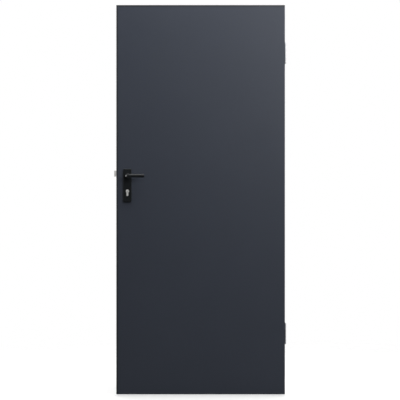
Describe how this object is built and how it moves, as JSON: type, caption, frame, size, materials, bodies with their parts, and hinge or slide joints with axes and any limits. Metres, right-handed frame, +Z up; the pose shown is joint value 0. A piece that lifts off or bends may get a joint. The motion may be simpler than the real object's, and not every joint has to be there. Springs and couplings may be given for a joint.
{
  "type": "steel utility door leaf",
  "caption": "Flush double-skin steel door leaf with lever handles on short plates, mortise lock with latch and dead bolt, profile cylinder and lift-off hinges",
  "frame": {"origin": "on the mounting face of the lower hinge's jamb plate, level with the hinge's middle and with the middle of the leaf's thickness", "axes": "+X to the right seen from the push side and out of the jamb plates' mounting faces, +Y through the leaf away from the push side, +Z up"},
  "size_m": [0.8805, 0.158, 1.985],
  "materials": {
    "leaf_coat": "satin anthracite powder coat",
    "infill": "honeycomb board",
    "zinc_plate": "zinc plated",
    "forend_steel": "brushed stainless",
    "bolt_nickel": "nickel plated",
    "cylinder_nickel": "satin nickel",
    "handle_black": "satin black",
    "bush_black": "moulded",
    "hinge_zinc": "bright zinc plated",
    "pin_steel": "ground steel",
    "washer_brass": "plain"
  },
  "bodies": {
    "hinge_frame_side": {"upper_hinge_jamb_half": "hinge_zinc", "upper_hinge_pin": "pin_steel", "upper_hinge_washer": "washer_brass", "lower_hinge_jamb_half": "hinge_zinc", "lower_hinge_pin": "pin_steel", "lower_hinge_washer": "washer_brass"},
    "leaf": {"front_sheet": "leaf_coat", "back_sheet": "leaf_coat", "top_channel": "leaf_coat", "bottom_channel": "leaf_coat", "leaf_core": "infill", "lock_backing": "zinc_plate", "upper_hinge_backing": "zinc_plate", "lower_hinge_backing": "zinc_plate", "lock_case": "zinc_plate", "lock_forend": "forend_steel", "cylinder_body": "cylinder_nickel", "front_plate": "handle_black", "back_plate": "handle_black", "front_bush": "bush_black", "back_bush": "bush_black", "upper_hinge_leaf_half": "hinge_zinc", "lower_hinge_leaf_half": "hinge_zinc"},
    "lever_set": {"front_lever": "handle_black", "back_lever": "handle_black", "spindle": "zinc_plate"},
    "latch": {"latch_bolt": "bolt_nickel"},
    "key_plugs": {"front_key_plug": "cylinder_nickel", "back_key_plug": "cylinder_nickel"},
    "dead_bolt": {"dead_bolt": "bolt_nickel"}
  },
  "joints": [
    {"name": "leaf_swing", "type": "hinge", "parent": "hinge_frame_side", "child": "leaf", "pos_m": [-0.0045, 0.028, 0], "axis": [0, 0, -1], "range_deg": [0, 170]},
    {"name": "lever_turn", "type": "hinge", "parent": "leaf", "child": "lever_set", "pos_m": [-0.809, 0, 0.805], "axis": [0, 1, 0], "range_deg": [0, 40], "stiffness_Nm_per_rad": 1.2, "springref_deg": -28.65},
    {"name": "latch_slide", "type": "slide", "parent": "leaf", "child": "latch", "axis": [1, 0, 0], "range_m": [0, 0.012]},
    {"name": "key_turn", "type": "hinge", "parent": "leaf", "child": "key_plugs", "pos_m": [-0.809, 0, 0.727], "axis": [0, -1, 0], "range_deg": [0, 360]},
    {"name": "dead_bolt_slide", "type": "slide", "parent": "leaf", "child": "dead_bolt", "axis": [-1, 0, 0], "range_m": [0, 0.02]}
  ],
  "couplings": [
    {"joint": "latch_slide", "follows": "lever_turn", "m_per_rad": 0.01718},
    {"joint": "key_turn", "follows": "dead_bolt_slide", "rad_per_m": 314}
  ]
}
